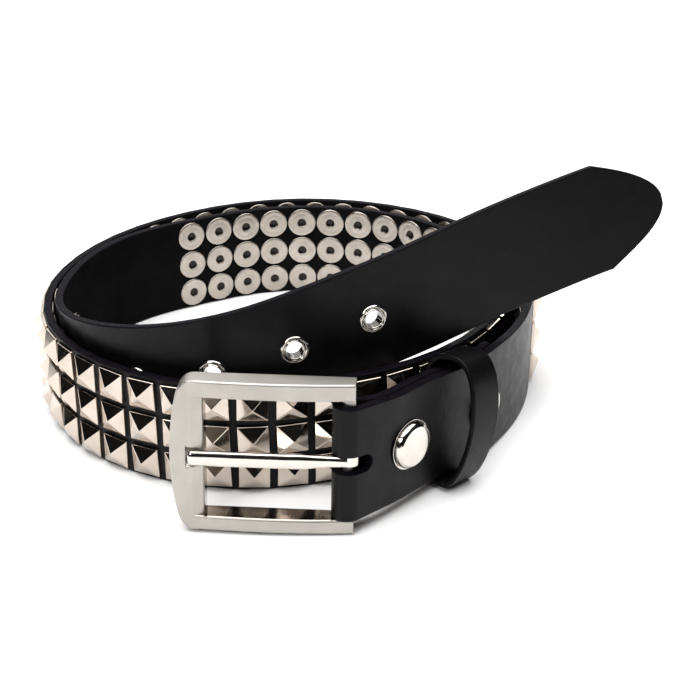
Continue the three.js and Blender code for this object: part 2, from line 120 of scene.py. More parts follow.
# Buckle frame, measured from the heel bar
BUCKLE_HEADING = 177.0
BUCKLE_RISE = 0.95
FRAME_FRONT = 5.6
FRAME_BACK = -3.35
FRAME_LOW = -25.0
FRAME_HIGH = 25.6
FRAME_HALF_OPENING = 20.1
ARM_END = -2.2
OPENING_END = 44.4
FRAME_CORNER = 52.9
CORNER_REACH = 5.7
CORNER_SLANT = 1.1
FRAME_BOW = 55.0
RIDGE = (47.9, 4.2)
FRAME_ARCH = ((ARM_END, 3.3), (12.0, 4.6), (28.0, 5.0), RIDGE, (FRAME_BOW, 3.6))
FRONT_EDGE = 0.8
FRAME_EDGE = 0.42
SLOPE_DROP = 1.5
SLOPE_LIP = (
    # distance past the opening's end, height over the slope's low edge
    (0, -0.7), (0.05, -0.45), (0.2, -0.17), (0.46, 0.06), (0.8, 0.28),
)
NOTCH_END = 50.3
NOTCH_RADIUS = 3.8
NOTCH_FLOOR = 2.1
NOTCH_CLEAR = 2.0
LUG_FRONT = 2.3
LUG_BACK = -1.6
LUG_OUTLINE = (
    # distance from the heel bar, height
    (ARM_END, 20.4), (ARM_END, 18.7), (-1.9, 18.4), (-0.7, 18.4), (0.3, 18.7), (1.2, 19.4),
    (2.4, 20.0), (3.4, 20.4),
)

# Tongue, measured from the heel bar
TONGUE_THICKNESS = 3.2
TONGUE_SQUARENESS = 0.9
TONGUE_LINE = (
    # distance from the heel bar, height of the middle to the front, width
    (0.0, 3.1, 3.8),
    (3.0, 3.08, 3.8),
    (6.0, 3.2, 3.85),
    (9.0, 3.53, 4.2),
    (12.0, 3.9, 4.7),
    (15.0, 4.1, 5.0),
    (18.0, 4.2, 5.0),
    (24.0, 4.26, 5.0),
    (30.0, 4.3, 5.0),
    (36.0, 4.33, 5.0),
    (42.0, 4.35, 5.0),
    (47.8, 4.35, 5.0),
)
TONGUE_TIP_REACH = 1.4
TONGUE_TIP_RINGS = 6
TONGUE_TIP_TURN = 14
TONGUE_TIP_BLUNTNESS = 0.6
RING_INNER = 2.1
RING_OUTER = 3.7
RING_WIDTH = 3.8
RING_EDGE = 0.3
BORE_HALF = 4.0

# How far cutters and punches reach past what they cut
CUT_CLEAR = 1.0
PUNCH_CLEAR = 2.0

# The strap's course, along the middle of its outer face, from the fold to the free end
COURSE = (
    # angle, radius, lift of the lower edge, lean of the upper edge outwards
    (282.5, 114.1, 5.4, -2.6),
    (291, 106.1, 4.5, 0),
    (299, 100.0, 4.1, 0),
    (308, 96.3, 2.5, 0),
    (320, 92.3, 1.4, 0),
    (333, 90.2, 0.2, 0),
    (350, 89.6, 0, 0),
    (375, 90.8, 0, 0),
    (402, 91.6, 0, 0),
    (430, 90.8, 0, 0),
    (455, 89.4, 0, 0),
    (480, 86.9, 0, 0),
    (505, 86.4, 0, 0),
    (530, 88.0, 0, 0),
    (555, 90.5, 0, 0),
    (580, 91.1, 0, 0),
    (600, 89.4, 0, 0),
    (620, 86.8, 0, 0),
    (640, 82.3, 0, 0),
    (660, 80.1, 0, 0),
    (680, 79.5, 0, 0),
    (705, 80.1, 0, 0),
    (735, 82.2, 0, 0),
    (765, 82.9, 0, 0),
    (795, 82.2, 0, 0),
    (820, 80.2, 0, 0),
    (843, 78.2, 0.2, 0),
    (863, 81.4, 0.4, 0),
    (885, 83.5, 0.7, 0),
    (903, 85.0, 1.0, 0),
    (920, 86.1, 3.2, 1),
    (940, 85.0, 8.0, 1),
    (960, 81.3, 14.0, 1),
    (982, 75.5, 21.8, 0),
    (1005, 70.5, 30.2, -2),
    (1028, 72.5, 37.1, -5),
    (1046, 80.8, 43.2, -8),
    (1059, 93.5, 47.5, -10),
    (1068, 112.0, 52.5, -10),
    (1075, 147.0, 61.0, -10),
)


def unit(vectors):
    """The vectors, each of length one."""
    return vectors / np.linalg.norm(vectors, axis=-1, keepdims=True)


class Course:
    """A smooth curve through the table's rows, measured by length along the strap."""

    SAMPLES = 4000
    REACH = 0.05

    def __init__(self, rows):
        angle, radius, lift, lean = np.array(rows, float).T
        turn = np.radians(angle)
        height = lift + STRAP_WIDTH / 2
        self.knots = np.stack([radius * np.cos(turn), radius * np.sin(turn), height, lean], axis=1)
        steps = np.linalg.norm(np.diff(self.knots[:, :3], axis=0), axis=1)
        self.at = np.concatenate([[0], np.cumsum(steps)])
        self.bend = self.natural_bend()
        self.fine = np.linspace(0, self.at[-1], self.SAMPLES + 1)
        points = self.spline(self.fine)[:, :3]
        steps = np.linalg.norm(np.diff(points, axis=0), axis=1)
        self.length = np.concatenate([[0], np.cumsum(steps)])

    def natural_bend(self):
        """Second derivatives of the natural cubic at its knots."""
        spans = np.diff(self.at)
        count = len(self.at)
        system = np.eye(count)
        sides = np.zeros_like(self.knots)
        for i in range(1, count - 1):
            before, after = spans[i - 1], spans[i]
            system[i, i - 1 : i + 2] = before, 2 * (before + after), after
            rise_after = (self.knots[i + 1] - self.knots[i]) / after
            rise_before = (self.knots[i] - self.knots[i - 1]) / before
            sides[i] = 6 * (rise_after - rise_before)
        return np.linalg.solve(system, sides)

    def spline(self, t):
        """Place and lean on the curve, at distances t between its knots."""
        i = np.clip(np.searchsorted(self.at, t) - 1, 0, len(self.at) - 2)
        span = (self.at[i + 1] - self.at[i])[:, None]
        a = (t - self.at[i])[:, None]
        b = (self.at[i + 1] - t)[:, None]
        curve = (self.bend[i] * b**3 + self.bend[i + 1] * a**3) / (6 * span)
        start = (self.knots[i] / span - self.bend[i] * span / 6) * b
        end = (self.knots[i + 1] / span - self.bend[i + 1] * span / 6) * a
        return curve + start + end

    def frames(self, s):
        """Point, and the directions along, across and out of the strap, at lengths s."""
        t = np.interp(s, self.length, self.fine)
        here = self.spline(t)
        along = unit((self.spline(t + self.REACH) - self.spline(t - self.REACH))[:, :3])
        up = np.array([0.0, 0.0, 1.0])
        upright = unit(up - along * along[:, 2:3])
        level = np.cross(along, upright)
        lean = np.radians(here[:, 3:4])
        across = upright * np.cos(lean) + level * np.sin(lean)
        out = np.cross(along, across)
        return here[:, :3] + COIL_CENTRE, along, across, out

    def frame_at(self, s):
        """Point, and the directions along, across and out of the strap, at one length."""
        return [values[0] for values in self.frames(np.array([s]))]

    def bent(self, flat):
        """Where points of the flat strap (along, across, outward) lie once it is folded and coiled."""
        s, w, n = flat.T
        fold = (s < 0) & (s > -FOLD_LENGTH)
        back = s <= -FOLD_LENGTH
        place = np.where(back, -s - FOLD_LENGTH, np.where(fold, 0, s))
        point, along, across, out = self.frames(place)
        depth = np.where(back, -back_ply(place) - STRAP_THICKNESS - n, n)
        laid = point + out * depth[:, None] + across * w[:, None]
        turn = (-s / FOLD_LENGTH * math.pi)[:, None]
        away = out * np.cos(turn) - along * np.sin(turn)
        radius = (HEEL_DEPTH + n)[:, None]
        folded = point - out * HEEL_DEPTH + away * radius + across * w[:, None]
        return np.where(fold[:, None], folded, laid)


def back_ply(place):
    """Distance of the back ply's flesh side behind the strap's outer face."""
    near = STRAP_THICKNESS + 2 * FOLD_RADIUS
    far = STRAP_THICKNESS + LEATHER_CLEAR
    share = np.clip(place / PLY_SPREAD, 0, 1)
    return near + (far - near) * share * share * (3 - 2 * share)


course = Course(COURSE)


# Mesh making

FACE_WEIGHT = 60
WELD = 1e-5
ROUND_PROFILE = 0.5


def new_object(name, data):
    """An object with this data, linked to the scene."""
    made = bpy.data.objects.new(name, data)
    bpy.context.scene.collection.objects.link(made)
    return made


def show(name, mesh, body, slot, *nodes):
    """Puts a finished mesh in the scene as a piece that rides on a body and replaces nodes."""
    piece = new_object(name, mesh)
    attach(piece, body)
    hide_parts(*nodes)


def finished(piece):
    """The piece's mesh with its modifiers applied."""
    bpy.context.view_layer.update()
    depsgraph = bpy.context.evaluated_depsgraph_get()
    return bpy.data.meshes.new_from_object(piece.evaluated_get(depsgraph), depsgraph=depsgraph)


def modified(mesh, kind, settings):
    """The mesh after one modifier with these settings."""
    holder = new_object("holder", mesh)
    modifier = holder.modifiers.new(kind, kind)
    for key, value in settings.items():
        setattr(modifier, key, value)
    made = finished(holder)
    bpy.data.objects.remove(holder)
    return made


def mesh_from(name, points, faces):
    mesh = bpy.data.meshes.new(name)
    mesh.from_pydata([tuple(float(v) for v in p) for p in points], [], faces)
    mesh.update()
    return mesh


def smooth(mesh, sharp_angle):
    """Smooth shading that breaks at edges sharper than the angle, with large faces kept flat."""
    for polygon in mesh.polygons:
        polygon.use_smooth = True
    mesh.set_sharp_from_angle(angle=math.radians(sharp_angle))
    return modified(mesh, "WEIGHTED_NORMAL", {"keep_sharp": True, "weight": FACE_WEIGHT})


def in_metres(mesh):
    """The mesh, scaled from millimetres to metres."""
    mesh.transform(Matrix.Scale(MM, 4))
    return mesh


def placing(point, *directions):
    """The transform from millimetres about the origin to a point and three directions."""
    turn = Matrix(directions).transposed().to_4x4()
    return Matrix.Translation(Vector(point * MM)) @ turn @ Matrix.Scale(MM, 4)


def give(mesh, *materials):
    """Gives the mesh these materials, in place of any that it had."""
    mesh.materials.clear()
    for material in materials:
        mesh.materials.append(material)


def outward(mesh):
    """Joins the points of a closed mesh that meet, and turns all its faces outwards."""
    work = bmesh.new()
    work.from_mesh(mesh)
    bmesh.ops.remove_doubles(work, verts=work.verts, dist=WELD)
    bmesh.ops.recalc_face_normals(work, faces=work.faces)
    work.to_mesh(mesh)
    work.free()
    return mesh


def bevelled(mesh, radius, segments, chosen):
    """The mesh with the edges that chosen picks rounded off."""
    work = bmesh.new()
    work.from_mesh(mesh)
    edges = [edge for edge in work.edges if chosen(edge)]
    bmesh.ops.bevel(
        work, geom=edges, offset=radius, segments=segments, profile=ROUND_PROFILE, affect="EDGES",
    )
    work.to_mesh(mesh)
    work.free()
    return mesh


def sharper_than(edge, degrees):
    """Whether the two faces beside an edge turn by more than an angle."""
    return edge.calc_face_angle(0) > math.radians(degrees)


def is_corner(edge):
    """Whether an edge of a leather piece is one of its cut corners."""
    return sharper_than(edge, degrees=60)


def circle(x, y, radius, sides):
    """The corners of a round outline about a middle."""
    turns = [2 * math.pi * k / sides for k in range(sides)]
    return [(x + radius * math.cos(turn), y + radius * math.sin(turn)) for turn in turns]


def rounded(corners, radius, steps):
    """A closed outline through corners that are rounded to a radius."""
    count = len(corners)
    outline = []
    for i in range(count):
        corner = Vector(corners[i])
        before = (Vector(corners[i - 1]) - corner).normalized()
        after = (Vector(corners[(i + 1) % count]) - corner).normalized()
        half = before.angle(after) / 2
        reach = radius / math.tan(half)
        centre = corner + (before + after).normalized() * (radius / math.sin(half))
        start = corner + before * reach - centre
        sweep = start.angle_signed(corner + after * reach - centre)
        for k in range(steps + 1):
            outline.append(centre + Matrix.Rotation(-sweep * k / steps, 2) @ start)
    return [tuple(p) for p in outline]


def cubic(p0, p1, p2, p3, steps):
    """Points of a cubic curve, as vectors, without its last one."""
    points = []
    for k in range(steps):
        t = k / steps
        u = 1 - t
        weights = (u**3, 3 * u * u * t, 3 * u * t * t, t**3)
        points.append(sum((Vector(p) * w for p, w in zip((p0, p1, p2, p3), weights)), Vector((0, 0))))
    return points


def quadratic(p0, p1, p2, steps):
    """Points of a quadratic curve, without its last one."""
    points = []
    for k in range(steps):
        t = k / steps
        u = 1 - t
        points.append(tuple(a * u * u + 2 * b * u * t + c * t * t for a, b, c in zip(p0, p1, p2)))
    return points


def catmull_rom(knots, steps):
    """A smooth line through knots, with the end knots repeated."""
    line = []
    for i in range(len(knots) - 1):
        p0, p1, p2, p3 = (Vector(knots[min(max(i + k, 0), len(knots) - 1)]) for k in (-1, 0, 1, 2))
        for step in range(steps):
            t = step / steps
            first, second = (p2 - p0) / 2, (p3 - p1) / 2
            square = (3 * (p2 - p1) - 2 * first - second) * t**2
            cube = (first + second - 2 * (p2 - p1)) * t**3
            line.append(p1 + first * t + square + cube)
    return [tuple(p) for p in line] + [knots[-1]]


def prism(name, outline, low, high):
    """An outline in X and Y, carried from a low to a high Z."""
    count = len(outline)
    points = [(x, y, z) for z in (low, high) for x, y in outline]
    faces = [tuple(range(count - 1, -1, -1)), tuple(range(count, 2 * count))]
    for k in range(count):
        nxt = (k + 1) % count
        faces.append((k, nxt, count + nxt, count + k))
    return mesh_from(name, points, faces)


def lofted(name, rings):
    """Rings of points joined by faces, with the first and the last ring closed."""
    sides = len(rings[0])
    end = sides * (len(rings) - 1)
    faces = [tuple(range(sides - 1, -1, -1))]
    for a in range(0, end, sides):
        b = a + sides
        faces += [(a + k, a + (k + 1) % sides, b + (k + 1) % sides, b + k) for k in range(sides)]
    faces.append(tuple(range(end, end + sides)))
    return outward(mesh_from(name, [point for ring in rings for point in ring], faces))


def turned(name, profile, sides, ring=False):
    """A lathe piece about Z: the profile runs from the axis back to the axis, or closes as a ring."""
    points = []
    starts = []
    for radius, height in profile:
        starts.append((len(points), radius > 0))
        if radius > 0:
            points += [(x, y, height) for x, y in circle(0, 0, radius, sides)]
        else:
            points.append((0, 0, height))
    ends = starts[1:] + starts[:1] if ring else starts[1:]
    faces = []
    for (a, a_round), (b, b_round) in zip(starts, ends):
        for k in range(sides):
            nxt = (k + 1) % sides
            if a_round and b_round:
                faces.append((a + k, a + nxt, b + nxt, b + k))
            elif b_round:
                faces.append((a, b + nxt, b + k))
            elif a_round:
                faces.append((a + k, a + nxt, b))
    return outward(mesh_from(name, points, faces))


def cut(mesh, cutters, operation="DIFFERENCE"):
    """The mesh with each cutter taken away, or joined on."""
    for cutter in cutters:
        tool = new_object("cutter", cutter)
        mesh = modified(mesh, "BOOLEAN", {"operation": operation, "object": tool, "solver": "EXACT"})
        bpy.data.objects.remove(tool)
    return mesh


# Node trees

VECTORS = {"data_type": "FLOAT_VECTOR"}
COLOURS = {"data_type": "RGBA"}


def link(tree, source, target):
    tree.links.new(source, target)


def add(tree, kind, settings=None, **inputs):
    """A new node; each input is named by its label, or i and its number, and is a value or an output."""
    node = tree.nodes.new(kind)
    for key, value in (settings or {}).items():
        setattr(node, key, value)
    for key, value in inputs.items():
        numbered = key[0] == "i" and key[1:].isdigit()
        socket = node.inputs[int(key[1:]) if numbered else key]
        if isinstance(value, bpy.types.NodeSocket):
            link(tree, value, socket)
        else:
            socket.default_value = value
    return node


def math_node(tree, operation, *values):
    """The result of a sum with numbers."""
    inputs = {f"i{k}": value for k, value in enumerate(values)}
    return add(tree, "ShaderNodeMath", {"operation": operation}, **inputs).outputs[0]


def times(tree, vector, factor):
    return add(tree, "ShaderNodeVectorMath", {"operation": "SCALE"}, i0=vector, Scale=factor).outputs[0]


def stepped(tree, start, direction, distance):
    """A place moved along a direction."""
    step = times(tree, direction, distance)
    return add(tree, "ShaderNodeVectorMath", {"operation": "ADD"}, i0=start, i1=step).outputs[0]


ROW_INPUTS = (
    # name, kind of socket
    ("Geometry", "NodeSocketGeometry"),
    ("Piece", "NodeSocketObject"),
    ("First place", "NodeSocketFloat"),
    ("Column pitch", "NodeSocketFloat"),
    ("Columns", "NodeSocketInt"),
    ("Rows", "NodeSocketInt"),
    ("Row pitch", "NodeSocketFloat"),
    ("Stand off", "NodeSocketFloat"),
    ("Wobble", "NodeSocketFloat"),
    ("Seed", "NodeSocketInt"),
    ("Finish", "NodeSocketMaterial"),
)


def grid_places(tree, given):
    """A point for each copy, its place along the belt and its rise from the strap's middle."""
    count = math_node(tree, "MULTIPLY", given["Columns"], given["Rows"])
    points = add(tree, "GeometryNodePoints", Count=count).outputs[0]
    index = tree.nodes.new("GeometryNodeInputIndex").outputs[0]
    column = math_node(tree, "FLOOR", math_node(tree, "DIVIDE", index, given["Rows"]))
    row = math_node(tree, "MODULO", index, given["Rows"])
    place = math_node(tree, "MULTIPLY_ADD", column, given["Column pitch"], given["First place"])
    middle = math_node(tree, "DIVIDE", math_node(tree, "SUBTRACT", given["Rows"], 1.0), 2.0)
    rise = math_node(tree, "MULTIPLY", math_node(tree, "SUBTRACT", row, middle), given["Row pitch"])
    return points, place, rise


def sampled_course(tree, guide, place):
    """The guide line's points, and its directions out and across, at places along it."""
    line = add(tree, "GeometryNodeMeshToCurve", Mesh=guide).outputs[0]
    directions = {}
    for name in ("out", "across"):
        stored = add(tree, "GeometryNodeInputNamedAttribute", VECTORS, Name=name).outputs[0]
        settings = {**VECTORS, "mode": "LENGTH"}
        node = add(tree, "GeometryNodeSampleCurve", settings, Curves=line, Value=stored, Length=place)
        directions[name] = node.outputs["Value"]
    return node.outputs["Position"], directions["out"], directions["across"]


def wobbled(tree, out, across, wobble, seed):
    """The turn that sets a copy square to the leather, with a small tilt by chance."""
    axes = {"primary_axis": "Z", "secondary_axis": "Y"}
    square = add(tree, "FunctionNodeAxesToRotation", axes, i0=out, i1=across).outputs[0]
    low = times(tree, (-1.0, -1.0, -1.0), wobble)
    high = times(tree, (1.0, 1.0, 1.0), wobble)
    chance = add(tree, "FunctionNodeRandomValue", VECTORS, Min=low, Max=high, Seed=seed).outputs[0]
    tilt = add(tree, "FunctionNodeEulerToRotation", i0=chance).outputs[0]
    local = {"rotation_space": "LOCAL"}
    return add(tree, "FunctionNodeRotateRotation", local, i0=square, i1=tilt).outputs[0]


def row_tree():
    """Sets copies of one piece in rows along the belt, square to the leather."""
    tree = bpy.data.node_groups.new("Set in rows along the belt", "GeometryNodeTree")
    for name, kind in ROW_INPUTS:
        tree.interface.new_socket(name, in_out="INPUT", socket_type=kind)
    tree.interface.new_socket("Geometry", in_out="OUTPUT", socket_type="NodeSocketGeometry")
    given = tree.nodes.new("NodeGroupInput").outputs
    result = tree.nodes.new("NodeGroupOutput").inputs[0]

    points, place, rise = grid_places(tree, given)
    position, out, across = sampled_course(tree, given["Geometry"], place)
    position = stepped(tree, position, out, given["Stand off"])
    position = stepped(tree, position, across, rise)
    placed = add(tree, "GeometryNodeSetPosition", Geometry=points, Position=position).outputs[0]
    turn = wobbled(tree, out, across, given["Wobble"], given["Seed"])
    piece = add(tree, "GeometryNodeObjectInfo", Object=given["Piece"]).outputs["Geometry"]
    copies = add(tree, "GeometryNodeInstanceOnPoints", Points=placed, Instance=piece, Rotation=turn)
    real = add(tree, "GeometryNodeRealizeInstances", Geometry=copies.outputs[0]).outputs[0]
    finish = add(tree, "GeometryNodeSetMaterial", Geometry=real, Material=given["Finish"]).outputs[0]
    link(tree, finish, result)
    return tree


rows = row_tree()


def guide_line():
    """The belt's course as a line of points that remember which way is out and across."""
    s = np.arange(0, FREE_END, GUIDE_STEP)
    point, _, across, out = course.frames(s)
    mesh = bpy.data.meshes.new("guide line")
    mesh.from_pydata((point * MM).tolist(), [(i, i + 1) for i in range(len(s) - 1)], [])
    for name, vectors in (("out", out), ("across", across)):
        layer = mesh.attributes.new(name, "FLOAT_VECTOR", "POINT")
        layer.data.foreach_set("vector", vectors.astype(np.float32).ravel())
    return mesh


def set_in_rows(template, material, sizes):
    """One mesh of all the copies of a template, set along the belt by the node tree."""
    piece = new_object("template", template)
    line = new_object("line of the belt", guide_line())
    modifier = line.modifiers.new("rows", "NODES")
    modifier.node_group = rows
    values = {"Piece": piece, "Finish": material, **sizes}
    for item in rows.interface.items_tree:
        if item.in_out == "INPUT" and item.name in values:
            modifier[item.identifier] = values[item.name]
    mesh = finished(line)
    bpy.data.objects.remove(line)
    bpy.data.objects.remove(piece)
    return mesh


# Materials

BLACK = ((0.0018, 0.0018, 0.0021), (0.0034, 0.0032, 0.0037))
INNER_BLACK = ((0.0048, 0.0047, 0.0048), (0.0078, 0.0076, 0.0078))
EDGE_BLACK = ((0.0028, 0.0022, 0.0038), (0.0055, 0.0043, 0.007))
SATIN = ((0.415, 0.39, 0.355), (0.475, 0.447, 0.407))
RIVET_SATIN = ((0.37, 0.33, 0.29), (0.46, 0.41, 0.365))
# Painted shade inside the eyelet barrels
PAINTED_BARREL_SHADE = (0.16, 0.15, 0.14)
# Painted shade inside the rivet hollows
PAINTED_HOLLOW_SHADE = (0.03, 0.026, 0.024)
PORE_SIZE = 0.75
BRUSH_STRETCH = (0.12, 1.0, 1.0)
PAPER_WHITE = (0.96, 0.96, 0.96)


def new_material(name, metallic=0.0):
    """A material with its node tree, its shader and the place on the piece."""
    material = bpy.data.materials.new(name)
    material.use_nodes = True
    tree = material.node_tree
    shader = tree.nodes["Principled BSDF"]
    shader.inputs["Metallic"].default_value = metallic
    place = tree.nodes.new("ShaderNodeTexCoord").outputs["Object"]
    return material, tree, shader, place


def noise(tree, place, size, detail, roughness=0.5):
    """Noise whose blotches are about the given size in millimetres."""
    scale = 1 / (size * MM)
    node = add(tree, "ShaderNodeTexNoise", Vector=place, Scale=scale, Detail=detail, Roughness=roughness)
    return node.outputs["Fac"]


def spread(tree, value, low, high, from_low=0.3, from_high=0.7):
    """The value stretched onto another range."""
    node = add(tree, "ShaderNodeMapRange", i0=value, i1=from_low, i2=from_high, i3=low, i4=high)
    return node.outputs[0]


def blended(tree, share, first, second):
    """A mix of two colours, of which the first may be another node's output."""
    if not isinstance(first, bpy.types.NodeSocket):
        first = (*first, 1)
    return add(tree, "ShaderNodeMix", COLOURS, Factor=share, i6=first, i7=(*second, 1)).outputs[2]


def clouded(tree, place, size, shades):
    """Two shades in soft clouds of about the given size in millimetres."""
    return blended(tree, spread(tree, noise(tree, place, size, detail=3), 0, 1), *shades)


def painted_shade_inside(tree, plate, shade_colour):
    """The plate's colour, with painted shade in the shade colour where the piece is marked hollow."""
    hollow = add(tree, "ShaderNodeAttribute", {"attribute_name": "hollow"}).outputs["Fac"]
    return blended(tree, hollow, plate, shade_colour)


def bump(tree, height, depth, under=None):
    """A bump of the given depth in millimetres."""
    node = add(tree, "ShaderNodeBump", Height=height, Distance=depth * MM, Strength=1.0)
    if under is not None:
        link(tree, under, node.inputs["Normal"])
    return node.outputs[0]


def dress(tree, shader, colour, roughness, normal):
    """Joins a colour, a roughness and a bump to the shader."""
    link(tree, colour, shader.inputs["Base Color"])
    link(tree, roughness, shader.inputs["Roughness"])
    link(tree, normal, shader.inputs["Normal"])


def leather(name, shades, gloss, pore_depth, shine):
    """Smooth black leather: faint pores and creases, and a finish that is worn unevenly."""
    material, tree, shader, place = new_material(name)
    colour = clouded(tree, place, 14, shades)
    rub = noise(tree, place, size=5, detail=4, roughness=0.6)
    scale = 1 / (PORE_SIZE * MM)
    pores = add(tree, "ShaderNodeTexVoronoi", {"feature": "SMOOTH_F1"}, Vector=place, Scale=scale)
    creases = bump(tree, noise(tree, place, size=1.6, detail=5, roughness=0.65), depth=0.05)
    normal = bump(tree, pores.outputs["Distance"], pore_depth, creases)
    dress(tree, shader, colour, spread(tree, rub, *gloss), normal)
    shader.inputs["Specular IOR Level"].default_value = shine
    return material


def edge_paint(shine):
    """Paint on the strap's edges: black with a hint of purple, over fine fibres."""
    material, tree, shader, place = new_material("painted strap edge")
    colour = clouded(tree, place, 4, EDGE_BLACK)
    roughness = spread(tree, noise(tree, place, size=1.2, detail=4), 0.36, 0.56)
    fibres = bump(tree, noise(tree, place, size=0.5, detail=4), depth=0.03)
    dress(tree, shader, colour, roughness, fibres)
    shader.inputs["Specular IOR Level"].default_value = shine
    return material


def polished_nickel(name, shades, gloss):
    """Bright nickel plate: a very fine grain, faint waviness and a little tarnish, with painted shade where a
    piece is marked hollow, inside the eyelet barrels.
    """
    material, tree, shader, place = new_material(name, metallic=1.0)
    colour = painted_shade_inside(tree, clouded(tree, place, 6, shades), PAINTED_BARREL_SHADE)
    smear = noise(tree, place, size=2.5, detail=5, roughness=0.7)
    wave = bump(tree, noise(tree, place, size=3.5, detail=1), depth=0.02)
    normal = bump(tree, noise(tree, place, size=0.25, detail=3), 0.0008, wave)
    dress(tree, shader, colour, spread(tree, smear, *gloss), normal)
    return material


def satin_nickel():
    """Satin nickel plate of the buckle frame: brushed lengthwise under a fine frosting."""
    material, tree, shader, place = new_material("satin nickel plate", metallic=1.0)
    colour = clouded(tree, place, 9, SATIN)
    stretch = add(tree, "ShaderNodeMapping", Vector=place, Scale=BRUSH_STRETCH).outputs[0]
    brushed = noise(tree, stretch, size=0.18, detail=3, roughness=0.6)
    frost = noise(tree, place, size=0.22, detail=3)
    normal = bump(tree, frost, 0.004, bump(tree, brushed, 0.004))
    dress(tree, shader, colour, spread(tree, brushed, 0.34, 0.46), normal)
    return material


def rivet_nickel():
    """Warm satin nickel of the rivet backs, with painted shade inside the hollow of each rivet."""
    material, tree, shader, place = new_material("rivet back nickel", metallic=1.0)
    colour = painted_shade_inside(tree, clouded(tree, place, 5, RIVET_SATIN), PAINTED_HOLLOW_SHADE)
    roughness = spread(tree, noise(tree, place, size=1.5, detail=4), 0.26, 0.42)
    dress(tree, shader, colour, roughness, bump(tree, noise(tree, place, size=0.3, detail=3), depth=0.003))
    return material


grain_leather = leather("black leather, grain side", BLACK, gloss=(0.32, 0.45), pore_depth=0.03, shine=0.15)
flesh_leather = leather("black leather, inner side", INNER_BLACK, gloss=(0.55, 0.7), pore_depth=0.04, shine=0)
keeper_leather = leather("black leather, keeper loop", BLACK, gloss=(0.30, 0.42), pore_depth=0.03, shine=0.1)
painted_edge = edge_paint(shine=0.03)
stud_nickel = polished_nickel(
    "polished stud nickel", ((0.60, 0.525, 0.46), (0.51, 0.445, 0.385)), gloss=(0.05, 0.13),
)
bright_nickel = polished_nickel(
    "bright nickel plate", ((0.66, 0.62, 0.575), (0.60, 0.565, 0.52)), gloss=(0.08, 0.15),
)
inner_nickel = polished_nickel(
    "polished inner walls of the frame", ((0.60, 0.55, 0.50), (0.52, 0.47, 0.42)), gloss=(0.08, 0.16),
)
frame_nickel = satin_nickel()
back_nickel = rivet_nickel()


# Strap


def tip_outline():
    """Lengths and half widths along the pointed end."""
    shoulder = FREE_END - TIP_LENGTH
    return [(shoulder + p.x, p.y) for p in cubic(*TIP_CURVE, TIP_STEPS) if p.y > NOSE_HALF]


def even_steps(start, span):
    """Lengths from a start, about a plain step apart, without the end of the span."""
    steps = int(span / PLAIN_STEP)
    return [start + span * k / steps for k in range(steps)]


def strap_stations():
    """Lengths at which the flat strap has an edge across it, with half the width there."""
    base = STUD_BASE / 2
    gap = (STUD_PITCH - STUD_BASE) / 2
    fold = [-FOLD_LENGTH * (1 - k / FOLD_STEPS) for k in range(FOLD_STEPS)]
    bend = [-FOLD_LENGTH - PLY_SPREAD * (1 - k / SPREAD_STEPS) for k in range(SPREAD_STEPS)]
    back = even_steps(-FOLD_LENGTH - PLY_END, PLY_END - PLY_SPREAD)
    plain = [STUD_FIRST - base - PLAIN_STEP * k for k in range(PLAIN_STEPS + 1)]
    middles = [STUD_FIRST + column * STUD_PITCH for column in range(STUD_COLUMNS)]
    studded = [middle + step for middle in middles for step in (-base, base, base + gap)]
    start = middles[-1] + STUD_PITCH - base
    last = even_steps(start, FREE_END - TIP_LENGTH - start)
    ordered = sorted({round(s, 4) for s in [*back, *bend, *fold, 0.0, *plain, *studded, *last]})
    return [(s, STRAP_WIDTH / 2) for s in ordered] + tip_outline()


def flat_strap():
    """The strap as cut: a slab with softened edges, lying along X with its grain side up."""
    rings = []
    for s, half in strap_stations():
        rings.append([(s, -half, 0), (s, half, 0), (s, half, -STRAP_THICKNESS), (s, -half, -STRAP_THICKNESS)])
    return bevelled(lofted("flat strap", rings), STRAP_EDGE, segments=3, chosen=is_corner)


def strap_punches():
    """Punches for the eyelets, the snaps and the tongue's slot."""
    low, high = -STRAP_THICKNESS - PUNCH_CLEAR, PUNCH_CLEAR
    eyelets = [EYELET_LAST - EYELET_PITCH * k for k in range(EYELET_COUNT)]
    snaps = [*SNAP_PLACES, *(-FOLD_LENGTH - s for s in SNAP_PLACES)]
    outlines = [circle(s, 0, EYELET_HOLE, sides=32) for s in eyelets]
    outlines += [circle(s, 0, SNAP_HOLE, sides=24) for s in snaps]
    near, far = SLOT_REACH, -FOLD_LENGTH - SLOT_REACH
    corners = [(near, -SLOT_HALF), (near, SLOT_HALF), (far, SLOT_HALF), (far, -SLOT_HALF)]
    outlines.append(rounded(corners, SLOT_CORNER, steps=8))
    return [prism("punch", outline, low, high) for outline in outlines]


STRAP_FINISHES = (grain_leather, flesh_leather, painted_edge)
LEVEL_ENOUGH = 0.75


def finish_of(normal):
    """Which of the strap's finishes a face of the flat strap has."""
    side = grain_leather if normal.z > 0 else flesh_leather
    return STRAP_FINISHES.index(side if abs(normal.z) > LEVEL_ENOUGH else painted_edge)


def split_and_finish(mesh):
    """Splits the flat strap's many-sided faces, and gives each face its finish."""
    give(mesh, *STRAP_FINISHES)
    work = bmesh.new()
    work.from_mesh(mesh)
    bmesh.ops.triangulate(work, faces=[face for face in work.faces if len(face.verts) > 4])
    for face in work.faces:
        face.material_index = finish_of(face.normal)
    work.to_mesh(mesh)
    work.free()


def bend_to_course(mesh):
    """Folds and coils the flat strap, and brings it to metres."""
    flat = np.empty(len(mesh.vertices) * 3)
    mesh.vertices.foreach_get("co", flat)
    bent = course.bent(flat.reshape(-1, 3)) * MM
    mesh.vertices.foreach_set("co", bent.astype(np.float32).ravel())
    mesh.update()


def make_strap():
    mesh = cut(flat_strap(), strap_punches())
    split_and_finish(mesh)
    bend_to_course(mesh)
    show("strap_leather", smooth(mesh, sharp_angle=40), "belt", "strap_leather", "strap")


# Studs, rivets, eyelets and snaps; each profile's rows are a radius and a height


